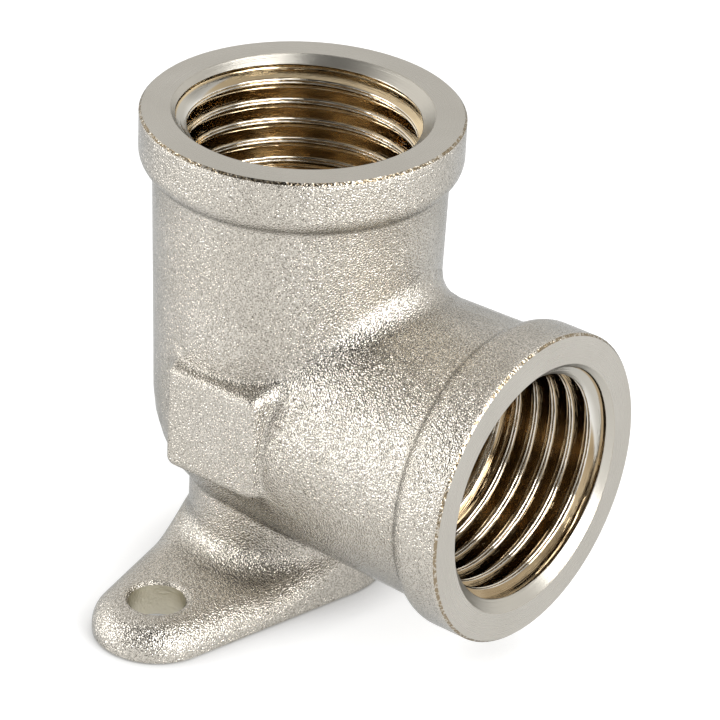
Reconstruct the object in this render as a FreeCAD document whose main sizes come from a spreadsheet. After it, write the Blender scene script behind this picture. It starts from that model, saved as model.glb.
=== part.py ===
"""Wall plate elbow: a forged brass fitting with two female G 1/2 ports at a right angle.

The origin lies on the underside of the wall plate, below the outlet port's axis. +Z is the
outlet port, away from the wall, +X is the inlet port, and the two ears lie along Y.
"""

import FreeCAD
import Part
import Sketcher
import math
import os
from enum import IntEnum
from FreeCAD import Vector

NODE = "elbow_body"

# Driving dimensions in millimetres and degrees: cell alias, value, meaning
DIMENSIONS = (
    ("port_reach", 25.5, "crossing of the two port axes to each mouth face"),
    ("thread_major_dia", 20.955, "G 1/2 thread, root of the internal thread"),
    ("thread_depth", 1.162, "G 1/2 thread, radial height of its ridges"),
    ("thread_length", 12.0, "mouth face to the end of the thread"),
    ("mouth_chamfer", 0.32, "45 degree lead-in at the mouth of the thread"),
    ("bore_tail", 2.5, "tapping bore beyond the thread"),
    ("waterway_dia", 15.5, "drilled waterway behind each thread"),
    ("waterway_overrun", 3.0, "straight drilling past the other port's axis"),
    ("drill_point", 118.0, "included angle of the drill point"),
    ("barrel_wall", 1.72, "thread root to the outside of the barrel, under the collar"),
    ("heel_inset", 0.45, "radius that each barrel loses between its collar and the round heel"),
    ("collar_stand", 1.15, "height of the collar above its barrel"),
    ("collar_length", 3.3, "straight part of the collar"),
    ("collar_flare", 1.7, "axial length of the rounded collar underside"),
    ("collar_crease", 0.3, "sloping band where the collar's underside meets its barrel"),
    ("mouth_edge", 0.2, "45 degree outer edge of the mouth face"),
    ("inlet_clearance", 3.15, "plate underside to the inlet port's collar"),
    ("junction_fillet", 2.2, "hollow between the two barrels"),
    ("plate_thickness", 3.1, "ears of the wall plate"),
    ("plate_ledge", 0.45, "width of the plate beside the neck"),
    ("ear_radius", 5.4, "round end of each ear"),
    ("ear_edge", 2.4, "radius of the ears' upper edge"),
    ("ear_wall", 0.4, "least upright wall below that edge"),
    ("ear_land", 0.2, "least flat ring between that edge and the screw hole's rim"),
    ("foot_edge", 0.2, "45 degree lower edge of the plate"),
    ("hole_spacing", 34.0, "between the two screw holes"),
    ("hole_dia", 4.8, "clearance holes for the wall screws"),
    ("hole_edge", 0.25, "45 degree upper rim of the screw holes"),
    ("neck_dia", 17.1, "neck between the plate and the heel"),
    ("neck_flare", 2.0, "hollow radius from the neck to the ears"),
    ("neck_crease", 0.6, "radius where the neck meets the heel"),
    ("pad_side", 9.0, "side of the square marking pad"),
    ("pad_along", 1.6, "pad centre from the outlet's axis, towards the inlet"),
    ("pad_above", 1.2, "pad centre from the inlet's axis, towards the outlet"),
    ("pad_stand", 1.05, "height of the pad's face above the heel"),
    ("pad_root", 3.0, "depth of the pad's sides below the heel's crown"),
    ("pad_draft", 20.0, "draft of the pad's sides"),
    ("pad_corner", 0.8, "radius of the pad's corners"),
    ("pad_edge", 0.35, "radius round the pad's face"),
)

# Sizes that follow from the driving dimensions
MAJOR = "(dims.thread_major_dia / 2)"
MINOR = "(dims.thread_major_dia / 2 - dims.thread_depth)"
WATER = "(dims.waterway_dia / 2)"
BARREL = "(dims.thread_major_dia / 2 + dims.barrel_wall)"
HEEL = f"({BARREL} - dims.heel_inset)"
COLLAR = f"({BARREL} + dims.collar_stand)"
COLLAR_END = "(dims.port_reach - dims.collar_length)"
FLARE_END = f"({COLLAR_END} - dims.collar_flare)"
BARREL_END = f"({FLARE_END} - dims.collar_crease)"
AXIS_HEIGHT = f"(dims.inlet_clearance + {COLLAR})"
NECK = "(dims.neck_dia / 2)"
WAIST = "(dims.neck_dia / 2 + dims.plate_ledge)"
EAR_CENTRE = "(dims.hole_spacing / 2)"
HOLE = "(dims.hole_dia / 2)"
HOLE_RIM = f"({HOLE} + dims.hole_edge)"
FLARE_TOP = "(dims.plate_thickness + dims.neck_flare)"
EDGE_BY_WALL = "dims.plate_thickness - dims.foot_edge - dims.ear_wall"
EDGE_BY_HOLE = f"dims.ear_radius - {HOLE_RIM} - dims.ear_land"
EAR_EDGE = f"min(dims.ear_edge; {EDGE_BY_WALL}; {EDGE_BY_HOLE})"
PAD_FACE = f"({HEEL} + dims.pad_stand)"

# Places on a sketch's sides, in the order that constraints number them
Place = IntEnum("Place", "START END CENTRE")

# A sketch's own axes, by the numbers that constraints know them by
SketchAxis = IntEnum("SketchAxis", {"ACROSS": -1, "UPRIGHT": -2})

UP = Vector(0, 0, 1)
TOLERANCE = 0.01


def make_sheet(doc):
    """Write the driving dimensions to a sheet with one aliased cell each."""
    sheet = doc.addObject("Spreadsheet::Sheet", "dims")
    for row, (alias, value, meaning) in enumerate(DIMENSIONS, start=1):
        sheet.set(f"A{row}", alias)
        sheet.set(f"B{row}", str(value))
        sheet.setAlias(f"B{row}", alias)
        sheet.set(f"C{row}", meaning)
    doc.recompute()


def origin_plane(body, role):
    """Return one of the body's own origin planes."""
    return next(item for item in body.Origin.OriginFeatures if item.Role == role)


def new_sketch(body, name, role):
    """Add a sketch on one of the body's origin planes."""
    sketch = body.newObject("Sketcher::SketchObject", name)
    sketch.AttachmentSupport = [(origin_plane(body, role), "")]
    sketch.MapMode = "FlatFace"
    return sketch


def crossing_sketch(body, name):
    """Add a sketch in the symmetry plane, with its origin where the port axes cross."""
    sketch = new_sketch(body, name, "XZ_Plane")
    sketch.setExpression(".AttachmentOffset.Base.y", AXIS_HEIGHT)
    return sketch


def constrain(sketch, kind, *places):
    """Add a geometric constraint between places of a sketch."""
    sketch.addConstraint(Sketcher.Constraint(kind, *places))


def bind(sketch, kind, expression, *places):
    """Add a dimension to a sketch and tie it to an expression of the sheet."""
    value = sketch.evalExpression(expression)
    number = sketch.addConstraint(Sketcher.Constraint(kind, *places, value))
    sketch.setExpression(f"Constraints[{number}]", expression)


def bind_point(sketch, side, place, x, y):
    """Tie both coordinates of a sketch point to expressions of the sheet."""
    for kind, axis, expression in (
        ("DistanceX", SketchAxis.UPRIGHT, x),
        ("DistanceY", SketchAxis.ACROSS, y),
    ):
        if expression == "0":
            constrain(sketch, "PointOnObject", side, place, axis)
        else:
            bind(sketch, kind, expression, side, place)


def arc(centre, radius, start_angle, end_angle):
    """Return a circular arc that runs counter-clockwise between two angles."""
    return Part.ArcOfCircle(Part.Circle(centre, UP, radius), start_angle, end_angle)


def arc_from_tangent(start, end, tangent):
    """Return the arc between two points that leaves the first along a direction.

    The second value tells whether the arc runs clockwise from start to end.
    """
    chord = end - start
    normal = Vector(-tangent.y, tangent.x, 0)
    signed_radius = chord.dot(chord) / (2 * chord.dot(normal))
    centre = start + normal * signed_radius
    start_angle = math.atan2(start.y - centre.y, start.x - centre.x)
    end_angle = math.atan2(end.y - centre.y, end.x - centre.x)
    clockwise = signed_radius < 0
    if clockwise:
        start_angle, end_angle = end_angle, start_angle
    return arc(centre, abs(signed_radius), start_angle, end_angle), clockwise


def draw_outline(sketch, corners, arcs=()):
    """Draw a closed outline whose corners follow expressions of the sheet.

    corners holds an (x, y) pair of expressions for each corner. Side i runs from corner i to
    the next one. It is straight, or an arc tangent to the side before it where arcs lists i.
    """
    count = len(corners)
    points = [Vector(sketch.evalExpression(x), sketch.evalExpression(y), 0) for x, y in corners]
    ends = []
    for side, start in enumerate(points):
        end = points[(side + 1) % count]
        clockwise = False
        if side in arcs:
            tangent = (start - points[side - 1]).normalize()
            geometry, clockwise = arc_from_tangent(start, end, tangent)
        else:
            geometry = Part.LineSegment(start, end)
        sketch.addGeometry(geometry, False)
        ends.append((Place.END, Place.START) if clockwise else (Place.START, Place.END))
    for side, (x, y) in enumerate(corners):
        before = (side - 1) % count
        joint = "Tangent" if side in arcs else "Coincident"
        constrain(sketch, joint, before, ends[before][1], side, ends[side][0])
        bind_point(sketch, before, ends[before][1], x, y)


def swap(corners):
    """Turn an upright profile's (radius, height) corners into a lying profile's (x, y)."""
    return [(height, radius) for radius, height in corners]


def other_side(corners):
    """Move a profile's (radius, height) corners to the other side of its axis."""
    return [("0" if radius == "0" else f"-({radius})", height) for radius, height in corners]


def add_feature(body, kind, name, grows, expressions=None, **settings):
    """Add a feature to the body and stop if it did not add or remove material as it should."""
    before = body.Shape.Volume if body.Tip else 0.0
    feature = body.newObject(kind, name)
    for key, value in settings.items():
        setattr(feature, key, value)
    for key, expression in (expressions or {}).items():
        feature.setExpression(key, expression)
    body.Tip = feature
    body.Document.recompute()
    change = feature.Shape.Volume - before
    if (change > 0) != grows or abs(change) < TOLERANCE:
        raise RuntimeError(f"{name} changed the volume by {change:.3f}")
    return feature


def turn(body, name, sketch, axis, grows):
    """Turn a profile about one of its sketch's axes, to add or to remove a round form."""
    kind = "PartDesign::Revolution" if grows else "PartDesign::Groove"
    add_feature(body, kind, name, grows, Profile=sketch, ReferenceAxis=(sketch, [axis]), Angle=360.0)


def middle(edge):
    """Return the point halfway along an edge's parameter range."""
    first, last = edge.ParameterRange
    return edge.valueAt((first + last) / 2)


def same(first, second):
    """Tell whether two lengths agree."""
    return abs(first - second) < TOLERANCE


def is_circle(edge, radius):
    """Tell whether an edge lies on a circle of a given radius."""
    return edge.Curve.TypeId == "Part::GeomCircle" and same(edge.Curve.Radius, radius)


def ease_edges(body, kind, name, size, wanted, grows):
    """Fillet or chamfer the edges that a test picks; the poles of round faces are no edges."""
    base = body.Tip
    numbered = enumerate(base.Shape.Edges, start=1)
    picked = [f"Edge{number}" for number, edge in numbered if not edge.Degenerated and wanted(edge)]
    if not picked:
        raise RuntimeError(f"{name} found no edge")
    add_feature(body, f"PartDesign::{kind}", name, grows, size, Base=(base, picked))


def add_fillet(body, name, radius, wanted, grows):
    """Round the edges that a test picks."""
    ease_edges(body, "Fillet", name, {"Radius": radius}, wanted, grows)


def add_chamfer(body, name, size, wanted):
    """Cut the edges that a test picks at 45 degrees."""
    ease_edges(body, "Chamfer", name, {"Size": size}, wanted, grows=False)


def draw_plate(sketch):
    """Draw the wall plate's outline: a round waist and two round ears, joined by tangents."""
    waist = sketch.evalExpression(WAIST)
    ear = sketch.evalExpression("dims.ear_radius")
    reach = sketch.evalExpression(EAR_CENTRE)
    slope = math.asin((waist - ear) / reach)
    half_turn = math.pi
    rounds = (
        arc(Vector(0, 0, 0), waist, -slope, slope),
        arc(Vector(0, reach, 0), ear, slope, half_turn - slope),
        arc(Vector(0, 0, 0), waist, half_turn - slope, half_turn + slope),
        arc(Vector(0, -reach, 0), ear, half_turn + slope, 2 * half_turn - slope),
    )
    for curve in rounds:
        sketch.addGeometry(curve, False)
    for number, curve in enumerate(rounds):
        following = (number + 1) % len(rounds)
        tangent = Part.LineSegment(curve.EndPoint, rounds[following].StartPoint)
        line = sketch.addGeometry(tangent, False)
        constrain(sketch, "Tangent", number, Place.END, line, Place.START)
        constrain(sketch, "Tangent", line, Place.END, following, Place.START)
    for number, centre_y, radius in (
        (0, "0", WAIST),
        (1, EAR_CENTRE, "dims.ear_radius"),
        (2, "0", WAIST),
        (3, f"-{EAR_CENTRE}", "dims.ear_radius"),
    ):
        bind_point(sketch, number, Place.CENTRE, "0", centre_y)
        bind(sketch, "Radius", radius, number)


def add_plate(body):
    """Make the two-eared plate and the neck that rises from it in a hollow sweep."""
    outline = new_sketch(body, "plate_outline", "XY_Plane")
    draw_plate(outline)
    add_feature(
        body, "PartDesign::Pad", "plate_and_neck", True, {"Length": AXIS_HEIGHT}, Profile=outline
    )
    trim = new_sketch(body, "neck_trim_profile", "XZ_Plane")
    beyond_ears = f"{EAR_CENTRE} + 2 * dims.ear_radius"
    above_neck = f"2 * {AXIS_HEIGHT}"
    corners = [
        (beyond_ears, "dims.plate_thickness"),
        (beyond_ears, above_neck),
        (NECK, above_neck),
        (NECK, FLARE_TOP),
        (f"{NECK} + dims.neck_flare", "dims.plate_thickness"),
    ]
    draw_outline(trim, corners, arcs=(3,))
    turn(body, "neck_trim", trim, "V_Axis", grows=False)

    def round_the_top(edge):
        point = middle(edge)
        foot = Part.Vertex(point.x, point.y, 0)
        on_outline = same(outline.Shape.distToShape(foot)[0], 0)
        upright = edge.tangentAt(edge.FirstParameter).isParallel(UP, TOLERANCE)
        return on_outline and not upright and point.z > TOLERANCE

    add_fillet(body, "ear_edges", EAR_EDGE, round_the_top, grows=False)


def port_profile(with_heel):
    """List the corners of half a port's outside, from its mouth back to the round heel.

    The barrel's side is tangent to the heel. The angle of its touching point, seen from the
    crossing of the axes, follows from the heel's radius and the barrel's far end.
    """
    angle = f"(atan2({BARREL_END}; {BARREL}) - acos({HEEL} / hypot({BARREL}; {BARREL_END})))"
    touch = f"{HEEL} * sin{angle}"
    return [
        ("0", "dims.port_reach"),
        (f"{COLLAR} - dims.mouth_edge", "dims.port_reach"),
        (COLLAR, "dims.port_reach - dims.mouth_edge"),
        (COLLAR, COLLAR_END),
        (f"{BARREL} + dims.collar_crease", f"{FLARE_END} + dims.collar_crease / 2"),
        (BARREL, BARREL_END),
        (f"{HEEL} * cos{angle}", touch),
        ("0", f"-{HEEL}" if with_heel else touch),
    ]


def add_ports(body):
    """Make the upright outlet with the round heel, then the lying inlet, and blend them.

    Both profiles lie on the far side of their axes, so that the seams of the round faces stay
    clear of the hollow between the barrels.
    """
    outlet = crossing_sketch(body, "outlet_profile")
    draw_outline(outlet, other_side(port_profile(with_heel=True)), arcs=(3, 6))
    turn(body, "outlet_port", outlet, "V_Axis", grows=True)
    inlet = crossing_sketch(body, "inlet_profile")
    draw_outline(inlet, swap(other_side(port_profile(with_heel=False))), arcs=(3,))
    turn(body, "inlet_port", inlet, "H_Axis", grows=True)
    axis_height = body.evalExpression(AXIS_HEIGHT)
    neck = body.evalExpression(NECK)
    flare_top = body.evalExpression(FLARE_TOP)

    def between_barrels(edge):
        point = middle(edge)
        in_mitre_plane = same(point.x, point.z - axis_height)
        return in_mitre_plane and point.x > TOLERANCE and edge.BoundBox.YLength > TOLERANCE

    def under_heel(edge):
        point = middle(edge)
        on_neck = same(math.hypot(point.x, point.y), neck)
        straight = edge.Curve.TypeId == "Part::GeomLine"
        return on_neck and not straight and point.z > flare_top + TOLERANCE

    add_fillet(body, "junction_hollow", "dims.junction_fillet", between_barrels, grows=True)
    add_fillet(body, "neck_hollow", "dims.neck_crease", under_heel, grows=True)


def add_pad(body):
    """Raise the bare square pad on the barrel's front, with drafted sides and soft edges."""
    sketch = crossing_sketch(body, "pad_outline")
    sketch.setExpression(".AttachmentOffset.Base.z", PAD_FACE)
    left = "dims.pad_along - dims.pad_side / 2"
    right = "dims.pad_along + dims.pad_side / 2"
    bottom = "dims.pad_above - dims.pad_side / 2"
    top = "dims.pad_above + dims.pad_side / 2"
    draw_outline(sketch, [(left, bottom), (right, bottom), (right, top), (left, top)])
    sizes = {"Length": "dims.pad_stand + dims.pad_root", "TaperAngle": "dims.pad_draft"}
    add_feature(body, "PartDesign::Pad", "marking_pad", True, sizes, Profile=sketch, Reversed=True)
    face_y = -body.evalExpression(PAD_FACE)

    def pad_sides(edge):
        on_face = any(same(vertex.Y, face_y) for vertex in edge.Vertexes)
        return on_face and edge.BoundBox.YLength > TOLERANCE

    def pad_rim(edge):
        return same(edge.BoundBox.YMax, face_y)

    add_fillet(body, "pad_corners", "dims.pad_corner", pad_sides, grows=False)
    add_fillet(body, "pad_rim", "dims.pad_edge", pad_rim, grows=False)


def bore_profile():
    """List the corners of half a port's inside, from the mouth to the drill point."""
    thread_end = "dims.port_reach - dims.thread_length"
    tail_end = f"{thread_end} - dims.bore_tail"
    point_depth = f"{WATER} / tan(dims.drill_point / 2 * 1 deg)"
    return [
        ("0", "dims.port_reach"),
        (f"{MAJOR} + dims.mouth_chamfer", "dims.port_reach"),
        (MAJOR, "dims.port_reach - dims.mouth_chamfer"),
        (MAJOR, thread_end),
        (MINOR, thread_end),
        (MINOR, tail_end),
        (WATER, f"{tail_end} - ({MINOR} - {WATER})"),
        (WATER, "-dims.waterway_overrun"),
        ("0", f"-dims.waterway_overrun - {point_depth}"),
    ]


def add_bores(body):
    """Bore both ports: lead-in, thread space, tapping bore and drilled waterway."""
    outlet = crossing_sketch(body, "outlet_bore_profile")
    draw_outline(outlet, bore_profile())
    turn(body, "outlet_bore", outlet, "V_Axis", grows=False)
    inlet = crossing_sketch(body, "inlet_bore_profile")
    draw_outline(inlet, swap(bore_profile()))
    turn(body, "inlet_bore", inlet, "H_Axis", grows=False)


def add_screw_holes(body):
    """Drill one ear for its wall screw and mirror the hole to the other ear."""
    sketch = new_sketch(body, "screw_hole_place", "XY_Plane")
    place = Vector(0, -sketch.evalExpression(EAR_CENTRE), 0)
    sketch.addGeometry(Part.Circle(place, UP, sketch.evalExpression(HOLE)), False)
    bind_point(sketch, 0, Place.CENTRE, "0", f"-{EAR_CENTRE}")
    bind(sketch, "Radius", HOLE, 0)
    depth = {"Length": FLARE_TOP}
    hole = add_feature(
        body, "PartDesign::Pocket", "screw_hole", False, depth, Profile=sketch, Reversed=True
    )
    add_feature(
        body,
        "PartDesign::Mirrored",
        "other_screw_hole",
        False,
        Originals=[hole],
        MirrorPlane=(origin_plane(body, "XZ_Plane"), [""]),
    )


def add_eased_edges(body):
    """Chamfer the plate's foot and the screw holes' upper rims."""
    hole = body.evalExpression(HOLE)
    ear_top = body.evalExpression("dims.plate_thickness")

    def foot_edges(edge):
        return edge.BoundBox.ZMax < TOLERANCE and not is_circle(edge, hole)

    def hole_rims(edge):
        return is_circle(edge, hole) and same(middle(edge).z, ear_top)

    add_chamfer(body, "foot_edges", "dims.foot_edge", foot_edges)
    add_chamfer(body, "hole_rims", "dims.hole_edge", hole_rims)


def check_document(doc, body):
    """Stop if any object failed or the finished solid is not sound."""
    for item in doc.Objects:
        if {"Invalid", "Error"} & set(item.State):
            raise RuntimeError(f"{item.Label} failed: {item.State}")
    shape = body.Shape
    if shape.isNull() or not shape.isValid() or len(shape.Solids) != 1:
        raise RuntimeError(f"{body.Label} is not one sound solid")


def main():
    """Build the elbow and write it to the parts folder."""
    doc = FreeCAD.newDocument("wall_plate_elbow")
    make_sheet(doc)
    body = doc.addObject("PartDesign::Body", NODE)
    body.Label = NODE
    body.Placement = FreeCAD.Placement()
    add_plate(body)
    add_ports(body)
    add_pad(body)
    add_bores(body)
    add_screw_holes(body)
    add_eased_edges(body)
    doc.recompute()
    check_document(doc, body)
    os.makedirs("parts", exist_ok=True)
    body.Shape.exportStep(f"parts/{body.Label}.step")
    print(f"{body.Label}: {body.Shape.Volume:.1f} mm3")


main()
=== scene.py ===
"""Dress the wall plate elbow: blasted nickel skin, machined mouths, drilled bores and cut threads.

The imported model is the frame, in metres: +Z is the outlet port, +X the inlet port, and the
plate's underside lies at Z = 0. Sizes below are in millimetres, as a fitting's drawing gives them,
and are turned into metres where a mesh or a node needs them. Colours are in linear light.
"""

import logging
import math
from dataclasses import dataclass, replace
from enum import Enum

import bmesh
import bpy
import numpy as np
from mathutils import Matrix, Vector


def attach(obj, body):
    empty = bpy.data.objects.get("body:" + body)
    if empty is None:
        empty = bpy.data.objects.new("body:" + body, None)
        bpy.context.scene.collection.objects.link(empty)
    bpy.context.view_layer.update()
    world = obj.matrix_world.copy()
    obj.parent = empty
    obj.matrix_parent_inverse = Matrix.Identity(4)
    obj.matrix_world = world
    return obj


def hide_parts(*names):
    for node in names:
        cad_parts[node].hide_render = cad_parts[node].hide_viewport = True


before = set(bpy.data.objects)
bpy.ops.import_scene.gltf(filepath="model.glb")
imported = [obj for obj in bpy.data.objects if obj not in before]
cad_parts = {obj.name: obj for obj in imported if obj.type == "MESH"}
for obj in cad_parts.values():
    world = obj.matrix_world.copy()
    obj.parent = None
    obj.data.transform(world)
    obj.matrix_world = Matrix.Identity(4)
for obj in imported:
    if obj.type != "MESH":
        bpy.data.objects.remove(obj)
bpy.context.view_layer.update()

LOG = logging.getLogger("wall_plate_elbow")
BODY = "root"

# Plain types that the hints below use
Socket = bpy.types.NodeSocket
Colour = tuple[float, float, float, float]
Place = tuple[float, float, float]
Span = tuple[float, float]
Input = Socket | Colour | Place | float

# Sizes that more than one class needs; a thread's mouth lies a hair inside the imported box
MM = 0.001
AXIS_HEIGHT = 16.5
PORT_REACH = 25.5
MOUTH_DROP = 0.004
CREST_RADIUS = 9.42
LEAD_RADIUS = 10.77

# Corners closer than this, in metres, are one corner; a face lower than this, in mm, is flat
MERGE_DISTANCE = 1e-7
FLAT_HEIGHT = 1e-9

# Words and numbers of Blender's nodes
VALUE = "NodeSocketFloat"
VECTOR = "NodeSocketVector"
MIX_INPUTS = (0, 6, 7)
MIX_RESULT = 2
EDGE_SAMPLES = 4

# Spans that ramps start from or end at
RISING = (0.0, 1.0)
FALLING = (1.0, 0.0)
NOISE_SPAN = (0.3, 0.7)


def colour(red: float, green: float, blue: float) -> Colour:
    """Return an opaque colour."""
    return (red, green, blue, 1.0)


EDGE_TINT = colour(0.60, 0.62, 0.64)


class Port(Enum):
    """The two threaded ports of the elbow."""

    OUTLET = "outlet"
    INLET = "inlet"

    def placement(self) -> np.ndarray:
        """Work out where the port lies.

        Returns:
            The 4 x 4 matrix that carries a port drawn along +Z, mouth at 0, to its place.
        """
        reach = PORT_REACH - MOUTH_DROP
        if self is Port.OUTLET:
            matrix = Matrix.Translation((0.0, 0.0, AXIS_HEIGHT + reach))
        else:
            turn = Matrix.Rotation(math.pi / 2, 4, "Y")
            matrix = Matrix.Translation((reach, 0.0, AXIS_HEIGHT)) @ turn
        return np.array(matrix)


class Zone(Enum):
    """The finishes that share the body's one mesh, by material index."""

    SKIN = 0
    OUTLET_MOUTH = 1
    INLET_MOUTH = 2
    RIM = 3
    OUTLET_BORE = 4
    INLET_BORE = 5
    HOLE = 6


class Graph:
    """A short way to write a node tree."""

    def __init__(self, tree: bpy.types.NodeTree) -> None:
        """Start with the node tree of a material, a world or a group, and empty it."""
        self.tree = tree
        self.tree.nodes.clear()

    def add(
        self,
        kind: str,
        inputs: dict[str | int, Input] | None = None,
        group: bpy.types.NodeTree | None = None,
        **settings: str | int,
    ) -> bpy.types.Node:
        """Add a node.

        Args:
            kind: the node's Blender type.
            inputs: a value, or another node's output socket, for each named or numbered input.
            group: the node group that a group node shows.
            settings: properties of the node itself, set before its inputs.

        Returns:
            The new node.
        """
        node = self.tree.nodes.new(kind)
        if group:
            node.node_tree = group
        for key, setting in settings.items():
            setattr(node, key, setting)
        for key, value in (inputs or {}).items():
            if isinstance(value, Socket):
                self.tree.links.new(value, node.inputs[key])
            else:
                node.inputs[key].default_value = value
        return node

    def math(self, operation: str, *values: Input) -> Socket:
        """Add a Math node and return its output."""
        return self.add("ShaderNodeMath", dict(enumerate(values)), operation=operation).outputs[0]

    def vector(self, operation: str, *values: Input) -> bpy.types.Node:
        """Add a Vector Math node and return it."""
        return self.add("ShaderNodeVectorMath", dict(enumerate(values)), operation=operation)

    def split(self, place: Socket) -> tuple[Socket, ...]:
        """Split a place into its x, y and z."""
        return tuple(self.add("ShaderNodeSeparateXYZ", {0: place}).outputs)

    def join(self, *parts: Input) -> Socket:
        """Join x, y and z into a place, with 0 for what isn't given."""
        return self.add("ShaderNodeCombineXYZ", dict(enumerate(parts))).outputs[0]

    def ramp(self, value: Socket, span: Span, result: Span = RISING) -> Socket:
        """Map a value smoothly from one span to another.

        Args:
            value: the socket to map.
            span: where the ramp starts and ends.
            result: what it gives at the start and at the end, and past them.

        Returns:
            The output socket.
        """
        names = ("Value", "From Min", "From Max", "To Min", "To Max")
        inputs = dict(zip(names, (value, *span, *result)))
        return self.add("ShaderNodeMapRange", inputs, interpolation_type="SMOOTHSTEP").outputs[0]

    def mix(self, share: Input, first: Input, second: Input) -> Socket:
        """Mix two colours by the share of the second and return the output."""
        inputs = dict(zip(MIX_INPUTS, (share, first, second)))
        return self.add("ShaderNodeMix", inputs, data_type="RGBA").outputs[MIX_RESULT]


def new_group(name: str, inputs: dict[str, str], outputs: dict[str, str]) -> Graph:
    """Make an empty shader node group.

    Args:
        name: the group's name.
        inputs: socket type for each input's name.
        outputs: socket type for each output's name.

    Returns:
        A graph to fill the group with; its tree is the group.
    """
    tree = bpy.data.node_groups.new(name, "ShaderNodeTree")
    for side, sockets in (("INPUT", inputs), ("OUTPUT", outputs)):
        for label, kind in sockets.items():
            tree.interface.new_socket(label, in_out=side, socket_type=kind)
    return Graph(tree)


@dataclass(frozen=True)
class BlastGrain:
    """The crinkled grain that shot leaves on forged metal, with a few pinholes."""

    detail: float = 0.5
    roughness: float = 0.5
    warp: float = 0.3
    dents_per_grain: float = 0.75
    dent_softness: float = 0.4
    dent_share: float = 0.22
    drift_per_mm: float = 0.16
    drift_detail: float = 1.0
    pinholes_per_mm: float = 2.0
    pinhole_span: Span = (0.07, 0.16)

    def group(self) -> bpy.types.NodeTree:
        """Make the grain's node group.

        Returns:
            A group that takes a place in millimetres, and gives a height, a tone and a mask of
            sparse pinholes, each from 0 to about 1.
        """
        graph = new_group(
            "blast_grain",
            {"Place": VECTOR, "Grains per mm": VALUE},
            {"Height": VALUE, "Tone": VALUE, "Pinhole": VALUE},
        )
        given = graph.add("NodeGroupInput").outputs
        place, density = given["Place"], given["Grains per mm"]
        crinkle = graph.add(
            "ShaderNodeTexNoise",
            {
                "Vector": place,
                "Scale": density,
                "Detail": self.detail,
                "Roughness": self.roughness,
                "Distortion": self.warp,
            },
        )
        dents = graph.add(
            "ShaderNodeTexVoronoi",
            {
                "Vector": place,
                "Scale": graph.math("MULTIPLY", density, self.dents_per_grain),
                "Smoothness": self.dent_softness,
            },
            feature="SMOOTH_F1",
        ).outputs["Distance"]
        drift = graph.add(
            "ShaderNodeTexNoise",
            {"Vector": place, "Scale": self.drift_per_mm, "Detail": self.drift_detail},
        )
        cells = graph.add(
            "ShaderNodeTexVoronoi", {"Vector": place, "Scale": self.pinholes_per_mm}
        ).outputs["Distance"]
        graph.add(
            "NodeGroupOutput",
            {
                "Height": graph.math("MULTIPLY_ADD", dents, self.dent_share, crinkle.outputs[0]),
                "Tone": graph.ramp(drift.outputs[0], NOISE_SPAN),
                "Pinhole": graph.ramp(cells, self.pinhole_span, FALLING),
            },
        )
        return graph.tree


@dataclass(frozen=True)
class TurningRings:
    """The fine rings that a lathe tool leaves round a port's axis."""

    change_per_radian: float = 0.05
    detail: float = 2.0
    roughness: float = 0.6
    drift_per_mm: float = 0.2
    drift_detail: float = 2.0

    def group(self) -> bpy.types.NodeTree:
        """Make the rings' node group.

        Returns:
            A group that takes a place in millimetres, measured from the axis with Z along it, and
            gives a height and a tone from 0 to 1.
        """
        graph = new_group(
            "turning_rings",
            {"Place": VECTOR, "Rings per mm": VALUE},
            {"Height": VALUE, "Tone": VALUE},
        )
        given = graph.add("NodeGroupInput").outputs
        place = given["Place"]
        x, y, along = graph.split(place)
        radius = graph.vector("LENGTH", graph.join(x, y)).outputs["Value"]
        turn = graph.math("MULTIPLY", graph.math("ARCTAN2", y, x), self.change_per_radian)
        rings = graph.add(
            "ShaderNodeTexNoise",
            {
                "Vector": graph.join(radius, along, turn),
                "Scale": given["Rings per mm"],
                "Detail": self.detail,
                "Roughness": self.roughness,
            },
        )
        drift = graph.add(
            "ShaderNodeTexNoise",
            {"Vector": place, "Scale": self.drift_per_mm, "Detail": self.drift_detail},
        )
        graph.add(
            "NodeGroupOutput",
            {"Height": rings.outputs[0], "Tone": graph.ramp(drift.outputs[0], NOISE_SPAN)},
        )
        return graph.tree


@dataclass(frozen=True)
class Effects:
    """The node groups that the finishes share."""

    grain: bpy.types.NodeTree
    turning: bpy.types.NodeTree


def new_material(name: str) -> tuple[bpy.types.Material, Graph]:
    """Make an empty node material.

    Args:
        name: the material's name.

    Returns:
        The material and a graph to fill it with.
    """
    material = bpy.data.materials.new(name)
    material.use_nodes = True
    return material, Graph(material.node_tree)


def place_in_mm(graph: Graph, port: Port = Port.OUTLET) -> Socket:
    """Add the object's own coordinates in millimetres, from the crossing of the axes.

    Args:
        graph: the material's graph.
        port: the port whose axis becomes Z.

    Returns:
        The output socket.
    """
    place = graph.add("ShaderNodeTexCoord").outputs["Object"]
    scaled = graph.vector("MULTIPLY", place, (1.0 / MM,) * 3).outputs[0]
    moved = graph.vector("SUBTRACT", scaled, (0.0, 0.0, AXIS_HEIGHT)).outputs[0]
    if port is Port.OUTLET:
        return moved
    quarter_turn = (0.0, -math.pi / 2, 0.0)
    return graph.add("ShaderNodeMapping", {"Vector": moved, "Rotation": quarter_turn}).outputs[0]


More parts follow.
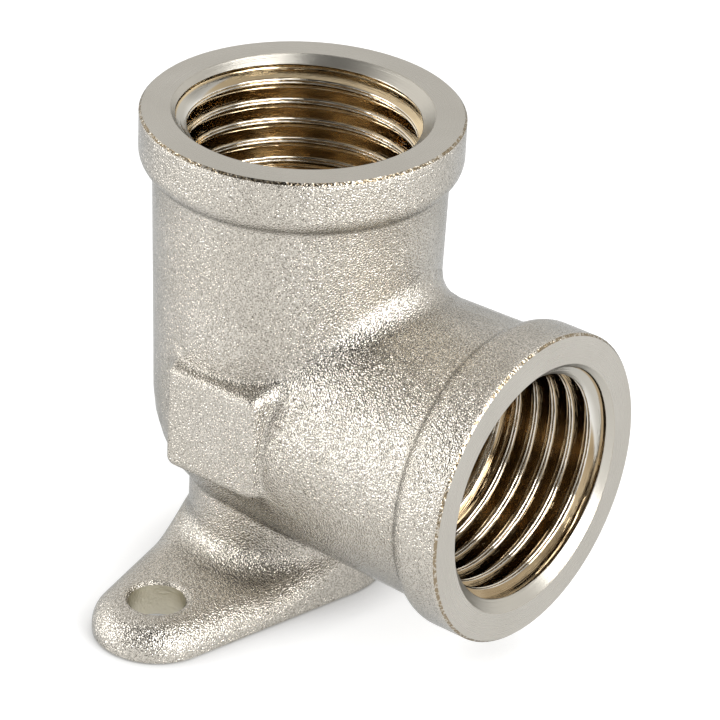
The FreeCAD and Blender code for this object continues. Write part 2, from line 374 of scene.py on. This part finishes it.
def finish_metal(
    graph: Graph, base: Input, roughness: Input, height: Socket, depth: float, edge: float = 0.0
) -> None:
    """Add a metal shader with a bumped normal to a material.

    Args:
        graph: the material's graph.
        base: the metal's colour.
        roughness: a number or a socket.
        height: the surface's height, from 0 to about 1.
        depth: the height's size in millimetres.
        edge: how far sharp edges look rounded, in millimetres.
    """
    bump = {"Height": height, "Distance": depth * MM, "Strength": 1.0}
    if edge:
        rounded = graph.add("ShaderNodeBevel", {"Radius": edge * MM}, samples=EDGE_SAMPLES)
        bump["Normal"] = rounded.outputs[0]
    shader = graph.add(
        "ShaderNodeBsdfPrincipled",
        {
            "Base Color": base,
            "Roughness": roughness,
            "Metallic": 1.0,
            "Specular Tint": EDGE_TINT,
            "Normal": graph.add("ShaderNodeBump", bump).outputs[0],
        },
    )
    graph.add("ShaderNodeOutputMaterial", {"Surface": shader.outputs[0]})


@dataclass(frozen=True)
class BlastedNickel:
    """Forged skin, shot-blasted to a bright crinkled grain and nickel-plated."""

    pale: Colour = colour(0.735, 0.695, 0.633)
    deep: Colour = colour(0.675, 0.635, 0.568)
    # The third colour is painted shade: the grain's low points darken to it, in place of the shade
    # that falls in the blast pits.
    pit_shade: Colour = colour(0.47, 0.44, 0.385)
    pinhole: Colour = colour(0.16, 0.14, 0.11)
    pit_shade_span: Span = (0.40, 0.80)
    roughness: Span = (0.08, 0.13)
    grains_per_mm: float = 7.5
    depth: float = 0.105
    edge: float = 0.7

    def material(self, effects: Effects) -> bpy.types.Material:
        """Make the skin's material.

        Args:
            effects: the shared node groups.

        Returns:
            The material.
        """
        material, graph = new_material("blasted_nickel")
        inputs = {"Place": place_in_mm(graph), "Grains per mm": self.grains_per_mm}
        grain = graph.add("ShaderNodeGroup", inputs, effects.grain).outputs
        metal = graph.mix(grain["Tone"], self.deep, self.pale)
        # Painted shade: the grain's low points are mixed towards the darker pit colour, as shade in
        # the blast pits.
        painted_shade = graph.ramp(grain["Height"], self.pit_shade_span, FALLING)
        base = graph.mix(grain["Pinhole"], graph.mix(painted_shade, metal, self.pit_shade), self.pinhole)
        roughness = graph.ramp(grain["Tone"], RISING, self.roughness[::-1])
        finish_metal(graph, base, roughness, grain["Height"], self.depth, self.edge)
        return material


@dataclass(frozen=True)
class TurnedMetal:
    """Metal cut on a lathe, with fine rings round the axis of a port."""

    name: str
    pale: Colour
    deep: Colour
    roughness: Span
    rings_per_mm: float
    depth: float
    port: Port = Port.OUTLET

    def material(self, effects: Effects) -> bpy.types.Material:
        """Make the turned finish's material.

        Args:
            effects: the shared node groups.

        Returns:
            The material.
        """
        material, graph = new_material(f"{self.name}_{self.port.value}")
        inputs = {"Place": place_in_mm(graph, self.port), "Rings per mm": self.rings_per_mm}
        rings = graph.add("ShaderNodeGroup", inputs, effects.turning).outputs
        base = graph.mix(rings["Tone"], self.deep, self.pale)
        roughness = graph.ramp(rings["Height"], NOISE_SPAN, self.roughness)
        finish_metal(graph, base, roughness, rings["Height"], self.depth)
        return material


@dataclass(frozen=True)
class CutThread:
    """Bright crests and tinted grooves with tool lines, behind a satin lead-in and first flank."""

    port: Port
    pale: Colour
    deep: Colour
    crest: Colour = colour(0.84, 0.82, 0.77)
    satin: Colour = colour(0.54, 0.515, 0.46)
    roughness: Span = (0.03, 0.08)
    satin_roughness: float = 0.32
    lead_end: Span = (0.02, 0.08)
    first_flank: Span = (1.1, 1.5)
    first_groove: float = 10.3
    crest_margin: float = 0.05
    groove_blend: Span = (-0.06, 0.06)
    lines_per_mm: float = 10.0
    depth: float = 0.02

    def material(self, effects: Effects) -> bpy.types.Material:
        """Make the thread's material.

        Args:
            effects: the shared node groups.

        Returns:
            The material.
        """
        material, graph = new_material(f"cut_thread_{self.port.value}")
        place = place_in_mm(graph, self.port)
        inputs = {"Place": place, "Rings per mm": self.lines_per_mm}
        lines = graph.add("ShaderNodeGroup", inputs, effects.turning).outputs
        x, y, along = graph.split(place)
        radius = graph.vector("LENGTH", graph.join(x, y)).outputs["Value"]
        below_mouth = graph.math("SUBTRACT", PORT_REACH, along)
        behind_cone = graph.math("SUBTRACT", graph.math("ADD", radius, below_mouth), LEAD_RADIUS)
        lead = graph.ramp(behind_cone, self.lead_end, FALLING)
        edges = (self.first_groove, CREST_RADIUS + self.crest_margin)
        past_edge = graph.math("SUBTRACT", radius, graph.ramp(below_mouth, self.first_flank, edges))
        in_groove = graph.ramp(past_edge, self.groove_blend)
        groove = graph.mix(lines["Tone"], self.deep, self.pale)
        land = graph.mix(graph.ramp(below_mouth, self.first_flank), self.satin, self.crest)
        base = graph.mix(lead, graph.mix(in_groove, land, groove), self.satin)
        polish = graph.ramp(lines["Height"], NOISE_SPAN, self.roughness)
        dulling = self.satin_roughness - self.roughness[0]
        roughness = graph.math("MULTIPLY_ADD", lead, dulling, polish)
        finish_metal(graph, base, roughness, lines["Height"], self.depth)
        return material


@dataclass(frozen=True)
class WornRim:
    """The outer edge of a mouth face: cut metal broken by darker nicks."""

    pale: Colour = colour(0.60, 0.56, 0.49)
    nick: Colour = colour(0.30, 0.24, 0.16)
    nick_span: Span = (0.55, 0.80)
    roughness: float = 0.2
    nicks_per_mm: float = 4.5
    depth: float = 0.10

    def material(self, effects: Effects) -> bpy.types.Material:
        """Make the rim's material.

        Args:
            effects: the shared node groups.

        Returns:
            The material.
        """
        material, graph = new_material("worn_rim")
        inputs = {"Place": place_in_mm(graph), "Grains per mm": self.nicks_per_mm}
        height = graph.add("ShaderNodeGroup", inputs, effects.grain).outputs["Height"]
        base = graph.mix(graph.ramp(height, self.nick_span), self.nick, self.pale)
        finish_metal(graph, base, self.roughness, height, self.depth)
        return material


MACHINED_MOUTH = TurnedMetal(
    "machined_mouth",
    pale=colour(0.585, 0.558, 0.505),
    deep=colour(0.555, 0.528, 0.475),
    roughness=(0.24, 0.34),
    rings_per_mm=12.0,
    depth=0.006,
)
DRILLED_BORE = TurnedMetal(
    "drilled_bore",
    pale=colour(0.58, 0.52, 0.43),
    deep=colour(0.50, 0.44, 0.35),
    roughness=(0.22, 0.32),
    rings_per_mm=9.0,
    depth=0.01,
)
DRILLED_HOLE = TurnedMetal(
    "drilled_hole",
    pale=colour(0.68, 0.64, 0.52),
    deep=colour(0.60, 0.56, 0.45),
    roughness=(0.3, 0.45),
    rings_per_mm=4.0,
    depth=0.08,
)
OUTLET_CUT = CutThread(Port.OUTLET, colour(0.74, 0.60, 0.395), colour(0.58, 0.455, 0.28))
# Painted shade: the inlet's groove colours are the outlet's darkened, the same cut metal shaded for
# the side port.
INLET_CUT_SHADED = CutThread(Port.INLET, colour(0.44, 0.34, 0.21), colour(0.32, 0.235, 0.135))


def add_object(name: str, data: bpy.types.ID) -> bpy.types.Object:
    """Make an object and link it to the scene.

    Args:
        name: the object's name.
        data: its mesh, lamp or camera.

    Returns:
        The new object.
    """
    thing = bpy.data.objects.new(name, data)
    bpy.context.scene.collection.objects.link(thing)
    return thing


def clean_mesh(mesh: bpy.types.Mesh) -> None:
    """Merge doubled corners, drop faces of no area, turn the faces outwards and shade them smooth.

    Args:
        mesh: the mesh to clean, in place.
    """
    work = bmesh.new()
    work.from_mesh(mesh)
    bmesh.ops.remove_doubles(work, verts=work.verts, dist=MERGE_DISTANCE)
    bmesh.ops.dissolve_degenerate(work, edges=work.edges, dist=MERGE_DISTANCE)
    loose = [corner for corner in work.verts if not corner.link_faces]
    bmesh.ops.delete(work, geom=loose, context="VERTS")
    bmesh.ops.recalc_face_normals(work, faces=work.faces)
    work.to_mesh(mesh)
    work.free()
    mesh.validate()
    mesh.polygons.foreach_set("use_smooth", np.ones(len(mesh.polygons), bool))


def quad_mesh(name: str, corners: np.ndarray, quads: np.ndarray) -> bpy.types.Mesh:
    """Put arrays of corners and quads into a mesh and clean it.

    Args:
        name: the mesh's name.
        corners: n x 3 places in millimetres.
        quads: m x 4 corner numbers.

    Returns:
        The mesh.
    """
    mesh = bpy.data.meshes.new(name)
    mesh.vertices.add(len(corners))
    mesh.vertices.foreach_set("co", (corners * MM).astype(np.float32).ravel())
    mesh.loops.add(quads.size)
    mesh.loops.foreach_set("vertex_index", quads.astype(np.int32).ravel())
    mesh.polygons.add(len(quads))
    starts = np.arange(0, quads.size, quads.shape[1], dtype=np.int32)
    mesh.polygons.foreach_set("loop_start", starts)
    mesh.update(calc_edges=True)
    clean_mesh(mesh)
    return mesh


def soft_min(first: np.ndarray, second: float, blend: float) -> np.ndarray:
    """Return the lesser of two values, rounded over a blend width where they meet."""
    share = np.maximum(blend - np.abs(first - second), 0.0) / blend
    return np.minimum(first, second) - share**2 * blend / 4


def soft_max(first: np.ndarray, second: float, blend: float) -> np.ndarray:
    """Return the greater of two values, rounded over a blend width where they meet."""
    return -soft_min(-first, -second, blend)


def in_rows(*columns: np.ndarray) -> np.ndarray:
    """Set arrays of one shape side by side, with one row for each of their items."""
    return np.stack(columns, axis=-1).reshape(-1, len(columns))


def round_axis(radius: np.ndarray, angle: np.ndarray, height: np.ndarray) -> np.ndarray:
    """Carry a profile round Z: a corner is (radius * cos(angle), radius * sin(angle), height)."""
    across, aside = radius * np.cos(angle)[:, None], radius * np.sin(angle)[:, None]
    return in_rows(across, aside, np.broadcast_to(height, across.shape))


@dataclass(frozen=True)
class PortThread:
    """The internal thread of one port, cut in the body, with its lead-in at the mouth.

    The groove's angle and depth say where the middle of one groove lies in the port.
    """

    port: Port
    groove_angle: float = 127.5
    groove_depth: float = 1.08
    pitch: float = 1.814
    pitch_radius: float = 9.8965
    root_radius: float = 10.45
    flank_angle: float = 27.5
    crest_round: float = 0.18
    root_round: float = 0.22
    split_depth: float = 0.13
    split_width: float = 0.07
    length: float = 11.97
    fade_turns: float = 1.4
    wall_radius: float = 11.3
    turns_below: int = 2
    turns_above: int = 1
    rows: int = 48
    columns: int = 168
    profile_steps: int = 2001
    turning_weight: float = 0.25

    @property
    def start_turn(self) -> float:
        """Return the turn at which the strip starts, so that a groove is where the fields say."""
        climb = (self.groove_depth - self.length) / self.pitch
        return self.groove_angle / 360 + climb - (self.turns_below - 0.5)

    def profile(self, along: np.ndarray) -> np.ndarray:
        """Return the thread's radius over one pitch.

        The groove is a V, radius = pitch radius + (pitch / 4 - distance from the groove's middle)
        / tan(flank angle), cut off at the crest and rounded at the root. The tap leaves the crest
        split by a hairline, split depth * exp(-(distance from the crest's middle / split width)^2).

        Args:
            along: distances along the axis, from 0 to the pitch, with the groove in the middle.

        Returns:
            The radius at each distance.
        """
        from_middle = np.abs(along - self.pitch / 2)
        flank = math.tan(math.radians(self.flank_angle))
        groove = self.pitch_radius + (self.pitch / 4 - from_middle) / flank
        crested = soft_max(groove, CREST_RADIUS, self.crest_round)
        wall = soft_min(crested, self.root_radius, self.root_round)
        from_crest = self.pitch / 2 - from_middle
        return wall + self.split_depth * np.exp(-((from_crest / self.split_width) ** 2))

    def row_places(self) -> np.ndarray:
        """Spread the rows over one pitch, close together where the profile turns.

        The spacing follows the arc length plus the turning of the profile's slope, weighted.

        Returns:
            One distance for each row.
        """
        dense = np.linspace(0.0, self.pitch, self.profile_steps)
        radius = self.profile(dense)
        slope = np.arctan2(np.diff(radius), np.diff(dense))
        turning = np.concatenate(([0.0], np.abs(np.diff(slope))))
        arc = np.hypot(np.diff(radius), np.diff(dense))
        weight = np.concatenate(([0.0], np.cumsum(arc + self.turning_weight * turning)))
        wanted = np.linspace(0.0, weight[-1], self.rows, endpoint=False)
        return np.interp(wanted, weight, dense)

    def inner_surface(self) -> tuple[np.ndarray, np.ndarray]:
        """Work out the threaded wall as one strip wound round the axis.

        A corner at turn t and row s lies at height s + pitch * t above the strip's start. Its
        radius is the profile at s, faded to the crest near the bottom, and never less than the 45
        degree lead-in, lead radius + height, where height is 0 at the mouth. Heights past either
        end are held at that end. Row n of one turn is row 0 of the next, so the strip has no seam.

        Returns:
            The corners and the quads.
        """
        places = self.row_places()
        turns = math.ceil(self.length / self.pitch) + self.turns_below + self.turns_above
        count = turns * self.columns
        step = np.arange(count + 1)
        angle = 2 * math.pi * (step / self.columns + self.start_turn)
        start = -self.length - self.turns_below * self.pitch
        height = start + places[None, :] + self.pitch * step[:, None] / self.columns
        held = np.clip(height, -self.length, 0.0)
        fade = np.clip((held + self.length) / (self.fade_turns * self.pitch), 0.0, 1.0)
        thread = CREST_RADIUS + (self.profile(places)[None, :] - CREST_RADIUS) * fade
        corners = round_axis(np.maximum(thread, LEAD_RADIUS + held), angle, held)
        column, row = np.meshgrid(
            np.arange(count - self.columns), np.arange(self.rows), indexing="ij"
        )
        wraps = row == self.rows - 1
        next_row = np.where(wraps, 0, row + 1)
        next_column = np.where(wraps, column + self.columns, column)
        quads = in_rows(
            column * self.rows + row,
            (column + 1) * self.rows + row,
            (next_column + 1) * self.rows + next_row,
            next_column * self.rows + next_row,
        )
        return corners, quads[np.ptp(held.ravel()[quads], axis=1) > FLAT_HEIGHT]

    def outer_surface(self) -> tuple[np.ndarray, np.ndarray]:
        """Work out the hidden wall that closes the thread inside the body's metal.

        It is a profile of (radius, height) corners carried round the axis.

        Returns:
            The corners and the quads.
        """
        outline = np.array(
            (
                (LEAD_RADIUS, 0.0),
                (self.wall_radius, LEAD_RADIUS - self.wall_radius),
                (self.wall_radius, -self.length),
                (CREST_RADIUS, -self.length),
            )
        )
        width = len(outline)
        angle = 2 * math.pi * (np.arange(self.columns) / self.columns + self.start_turn)
        corners = round_axis(outline[:, 0], angle, outline[:, 1])
        column, row = np.meshgrid(np.arange(self.columns), np.arange(width - 1), indexing="ij")
        here = column * width + row
        following = (column + 1) % self.columns * width + row
        return corners, in_rows(here, following, following + 1, here + 1)

    def build(self, material: bpy.types.Material) -> bpy.types.Object:
        """Make the thread's closed piece, put it in its port and dress it.

        Args:
            material: the thread's finish.

        Returns:
            The piece.
        """
        inner, inner_quads = self.inner_surface()
        outer, outer_quads = self.outer_surface()
        matrix = self.port.placement()
        corners = np.concatenate((inner, outer)) @ matrix[:3, :3].T + matrix[:3, 3]
        quads = np.concatenate((inner_quads, outer_quads + len(inner)))
        name = f"{self.port.value}_thread"
        piece = add_object(name, quad_mesh(name, corners, quads))
        piece.data.materials.append(material)
        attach(piece, BODY)
        return piece


@dataclass(frozen=True)
class ElbowBody:
    """The forged body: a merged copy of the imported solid, dressed by zones."""

    node: str = "elbow_body"
    name: str = "elbow_skin"
    mouth_depth: float = 0.01
    rim_depth: float = 0.25
    rim_radius: float = 13.05
    bore_radius: float = 11.2
    hole_place: float = 17.0
    hole_radius: float = 2.45
    crease_angle: float = 21.0
    normal_weight: int = 50

    def zones(self, mesh: bpy.types.Mesh) -> np.ndarray:
        """Sort the faces into finishes by where they lie.

        Args:
            mesh: the merged body.

        Returns:
            A material index for each face.
        """
        count = len(mesh.polygons)
        centre = np.empty(count * 3, np.float32)
        mesh.polygons.foreach_get("center", centre)
        centre = centre.reshape(-1, 3) / MM - np.array((0.0, 0.0, AXIS_HEIGHT))
        x, y, z = centre.T
        on_inlet = x > z
        reach = np.maximum(x, z)
        from_outlet_axis, from_inlet_axis = np.hypot(x, y), np.hypot(y, z)
        from_axis = np.where(on_inlet, from_inlet_axis, from_outlet_axis)
        at_mouth = reach > PORT_REACH - self.mouth_depth
        at_rim = (reach > PORT_REACH - self.rim_depth) & (from_axis > self.rim_radius) & ~at_mouth
        in_outlet = (from_outlet_axis < self.bore_radius) & (z > 0)
        in_inlet = (from_inlet_axis < self.bore_radius) & (x > 0)
        in_heel = np.linalg.norm(centre, axis=1) < self.bore_radius
        in_bore = (in_outlet | in_inlet | in_heel) & ~at_mouth
        in_hole = np.hypot(x, np.abs(y) - self.hole_place) < self.hole_radius
        zone = np.full(count, Zone.SKIN.value, np.int32)
        for finish, faces in (
            (Zone.OUTLET_BORE, in_bore & ~on_inlet),
            (Zone.INLET_BORE, in_bore & on_inlet),
            (Zone.HOLE, in_hole),
            (Zone.RIM, at_rim),
            (Zone.OUTLET_MOUTH, at_mouth & ~on_inlet),
            (Zone.INLET_MOUTH, at_mouth & on_inlet),
        ):
            zone[faces] = finish.value
        return zone

    def build(self, finishes: dict[Zone, bpy.types.Material]) -> bpy.types.Object:
        """Make the body's piece and dress it.

        Args:
            finishes: the material of each zone.

        Returns:
            The piece.
        """
        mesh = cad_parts[self.node].data.copy()
        mesh.name = self.name
        clean_mesh(mesh)
        mesh.materials.clear()
        for zone in Zone:
            mesh.materials.append(finishes[zone])
        mesh.polygons.foreach_set("material_index", self.zones(mesh))
        mesh.set_sharp_from_angle(angle=math.radians(self.crease_angle))
        piece = add_object(self.name, mesh)
        weighted = piece.modifiers.new("even_normals", "WEIGHTED_NORMAL")
        weighted.weight = self.normal_weight
        weighted.keep_sharp = True
        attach(piece, BODY)
        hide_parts(self.node)
        return piece


@dataclass(frozen=True)
class Floor:
    """A wide pale floor that keeps the object's shadow."""

    side: float = 6000.0
    drop: float = 0.02
    paint: Colour = colour(0.46, 0.46, 0.46)
    glow: Colour = colour(1.0, 1.0, 1.0)
    viewed: float = 0.74
    bounced: float = 0.515
    shadow_reach: float = 4.0
    shadow_samples: int = 8

    def material(self) -> bpy.types.Material:
        """Make the floor's paint, which glows less where the object stands close.

        Returns:
            The material.
        """
        material, graph = new_material("pale_floor")
        paint = graph.add("ShaderNodeBsdfDiffuse", {"Color": self.paint})
        ray = graph.add("ShaderNodeLightPath").outputs
        open_sky = graph.add(
            "ShaderNodeAmbientOcclusion",
            {"Distance": self.shadow_reach * MM},
            samples=self.shadow_samples,
        ).outputs["AO"]
        viewed = graph.math("MULTIPLY", ray["Is Camera Ray"], open_sky)
        bounced = graph.math("MAXIMUM", ray["Is Glossy Ray"], ray["Is Transmission Ray"])
        strength = graph.math(
            "MAXIMUM",
            graph.math("MULTIPLY", viewed, self.viewed),
            graph.math("MULTIPLY", bounced, self.bounced),
        )
        glow = graph.add("ShaderNodeEmission", {"Color": self.glow, "Strength": strength})
        both = graph.add("ShaderNodeAddShader", {0: paint.outputs[0], 1: glow.outputs[0]})
        graph.add("ShaderNodeOutputMaterial", {"Surface": both.outputs[0]})
        return material

    def build(self) -> None:
        """Lay the floor just under the plate."""
        half = self.side / 2
        corners = np.array(((-half, -half), (half, -half), (half, half), (-half, half)))
        corners = np.column_stack((corners, np.full(len(corners), -self.drop)))
        mesh = bpy.data.meshes.new("floor")
        mesh.from_pydata((corners * MM).tolist(), [], [(0, 1, 2, 3)])
        mesh.materials.append(self.material())
        floor = add_object("floor", mesh)


@dataclass(frozen=True)
class Surround:
    """A room with a pale low sweep all round, a pale card at the left, dark above the camera."""

    tint: Colour = colour(1.0, 0.985, 0.96)
    dark_side: Place = (0.55, -0.72, 0.42)
    dark_span: Span = (0.0, 0.85)
    room_level: float = 0.66
    sweep_span: Span = (0.40, 0.58)
    sweep_level: float = 0.36
    card_side: Place = (-0.75, 0.05, 0.66)
    card_span: Span = (0.76, 0.96)
    card_level: float = 0.24

    def build(self) -> None:
        """Make the world and light it."""
        world = bpy.data.worlds.new("surround")
        bpy.context.scene.world = world
        world.use_nodes = True
        graph = Graph(world.node_tree)
        direction = graph.add("ShaderNodeTexCoord").outputs["Generated"]
        to_dark = graph.vector("DOT_PRODUCT", direction, self.dark_side).outputs["Value"]
        to_card = graph.vector("DOT_PRODUCT", direction, self.card_side).outputs["Value"]
        rise = graph.split(direction)[2]
        room = graph.ramp(to_dark, self.dark_span, (self.room_level, 0.0))
        sweep = graph.ramp(rise, self.sweep_span, FALLING)
        card = graph.ramp(to_card, self.card_span, (0.0, self.card_level))
        level = graph.math("MULTIPLY_ADD", sweep, self.sweep_level, room)
        strength = graph.math("ADD", level, card)
        sky = graph.add("ShaderNodeBackground", {"Color": self.tint, "Strength": strength})
        graph.add("ShaderNodeOutputWorld", {"Surface": sky.outputs[0]})


@dataclass(frozen=True)
class Softbox:
    """A square soft lamp that points at the middle of the object."""

    name: str
    place: Place
    side: float
    power: float
    aim_height: float = 20.0

    def build(self) -> None:
        """Hang the lamp."""
        lamp = bpy.data.lights.new(self.name, "AREA")
        lamp.shape = "SQUARE"
        lamp.size = self.side * MM
        lamp.energy = self.power
        holder = add_object(self.name, lamp)
        holder.location = Vector(self.place) * MM
        aim = Vector((0, 0, self.aim_height * MM)) - holder.location
        holder.rotation_euler = aim.to_track_quat("-Z", "Y").to_euler()


@dataclass(frozen=True)
class PhotoCamera:
    """The camera, where the photograph was taken from, with angles in degrees."""

    place: Place = (184.35, -231.44, 185.10)
    azimuth: float = 37.468
    elevation: float = 29.312
    roll: float = 2.659
    lens: float = 202.36
    sensor: float = 36.0
    nearest: float = 10.0
    farthest: float = 20000.0

    def axes(self) -> Matrix:
        """Work out the camera's right, up and back from its three angles.

        Returns:
            The 4 x 4 turn of the camera.
        """
        azimuth, elevation = math.radians(self.azimuth), math.radians(self.elevation)
        roll = math.radians(self.roll)
        level = math.cos(elevation)
        back = Vector(
            (math.sin(azimuth) * level, -math.cos(azimuth) * level, math.sin(elevation))
        )
        level_right = Vector((math.cos(azimuth), math.sin(azimuth), 0.0))
        level_up = back.cross(level_right)
        right = math.cos(roll) * level_right + math.sin(roll) * level_up
        up = math.cos(roll) * level_up - math.sin(roll) * level_right
        return Matrix((right, up, back)).transposed().to_4x4()

    def build(self) -> None:
        """Set up the camera and make it the scene's."""
        data = bpy.data.cameras.new("camera")
        data.lens = self.lens
        data.sensor_width = self.sensor
        data.clip_start = self.nearest * MM
        data.clip_end = self.farthest * MM
        camera = add_object("camera", data)
        camera.matrix_world = Matrix.Translation(Vector(self.place) * MM) @ self.axes()
        bpy.context.scene.camera = camera


@dataclass(frozen=True)
class Studio:
    """Everything round the object: floor, surround, soft lamps and camera."""

    floor: Floor = Floor()
    surround: Surround = Surround()
    camera: PhotoCamera = PhotoCamera()
    softboxes: tuple[Softbox, ...] = (
        Softbox("left_softbox", (-425, -425, 180), 330, 1.6),
        Softbox("right_softbox", (520, -110, 190), 260, 1.8),
        Softbox("top_softbox", (465, 62, 403), 280, 1.4),
        Softbox("over_softbox", (310, -87, 530), 240, 0.6),
    )

    def build(self) -> None:
        """Set up the whole studio."""
        for item in (self.floor, self.surround, *self.softboxes, self.camera):
            item.build()
        bpy.context.scene.view_settings.view_transform = "Standard"


def main() -> None:
    """Build the pieces in order and report each one."""
    logging.basicConfig(level=logging.INFO, format="%(name)s: %(message)s")
    effects = Effects(BlastGrain().group(), TurningRings().group())
    finishes = {
        Zone.SKIN: BlastedNickel(),
        Zone.OUTLET_MOUTH: MACHINED_MOUTH,
        Zone.INLET_MOUTH: replace(MACHINED_MOUTH, port=Port.INLET),
        Zone.RIM: WornRim(),
        Zone.OUTLET_BORE: DRILLED_BORE,
        Zone.INLET_BORE: replace(DRILLED_BORE, port=Port.INLET),
        Zone.HOLE: DRILLED_HOLE,
    }
    materials = {zone: finish.material(effects) for zone, finish in finishes.items()}
    outlet = PortThread(Port.OUTLET)
    inlet = PortThread(Port.INLET, groove_angle=93.7, groove_depth=0.8)
    pieces = (
        ElbowBody().build(materials),
        outlet.build(OUTLET_CUT.material(effects)),
        inlet.build(INLET_CUT_SHADED.material(effects)),
    )
    for piece in pieces:
        LOG.info("%s: %d faces", piece.name, len(piece.data.polygons))
    Studio().build()


if __name__ == "__main__":
    main()
